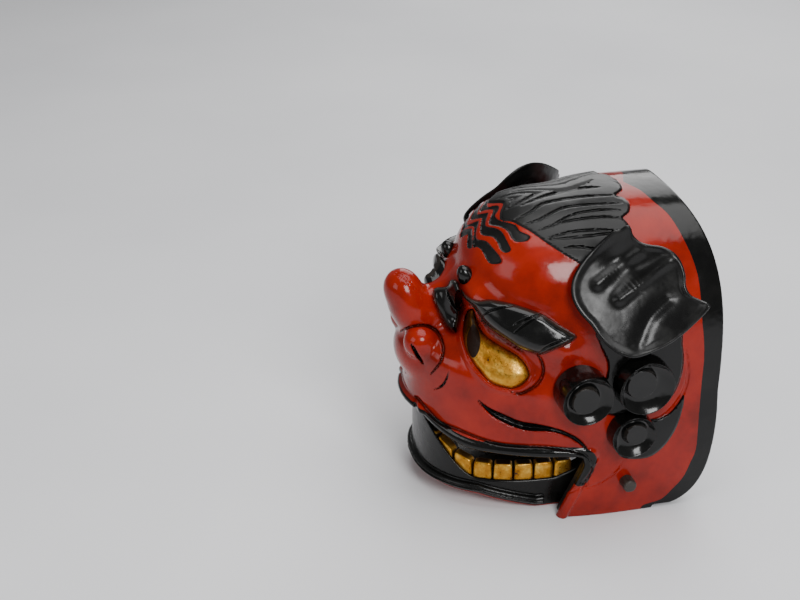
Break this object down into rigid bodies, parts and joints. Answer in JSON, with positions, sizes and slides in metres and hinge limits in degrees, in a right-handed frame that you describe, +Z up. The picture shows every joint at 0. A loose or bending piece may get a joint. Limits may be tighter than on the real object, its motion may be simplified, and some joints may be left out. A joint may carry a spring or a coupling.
{
  "type": "lion dance head",
  "caption": "Carved hollow lion dance head in red and black lacquer with gold eyes and teeth, loose leaf ears, side curls and a lower jaw that swings open on pegs",
  "frame": {"origin": "centre of the overall box at the flat bottom of the cheeks", "axes": "+Z up, nose towards -Y, open back towards +Y, the head's own left side towards +X"},
  "size_m": [0.3902, 0.3802, 0.381],
  "materials": {
    "red_lacquer": "glossy red lacquer over carved wood",
    "black_lacquer": "glossy black lacquer over carved wood",
    "gold_leaf": "worn gold leaf over carved wood",
    "peg_wood": "dark stained bare wood"
  },
  "bodies": {
    "head": {"head_shell": "red_lacquer", "upper_teeth": "gold_leaf", "jaw_peg_left": "peg_wood", "jaw_peg_right": "peg_wood", "eye_left": "gold_leaf", "eye_right": "gold_leaf", "brow_left": "black_lacquer", "brow_right": "black_lacquer", "brow_ball_left": "black_lacquer", "brow_ball_right": "black_lacquer", "bridge_leaf_left": "black_lacquer", "bridge_leaf_right": "black_lacquer", "curl_a_left": "black_lacquer", "curl_a_right": "black_lacquer", "curl_b_left": "black_lacquer", "curl_b_right": "black_lacquer", "curl_c_left": "black_lacquer", "curl_c_right": "black_lacquer", "ear_left": "black_lacquer", "ear_right": "black_lacquer"},
    "jaw": {"lower_jaw": "black_lacquer", "lower_teeth": "gold_leaf"}
  },
  "joints": [
    {"name": "jaw_hinge", "type": "hinge", "parent": "head", "child": "jaw", "pos_m": [0, 0.07905, 0.05], "axis": [1, 0, 0], "range_deg": [0, 30]}
  ]
}
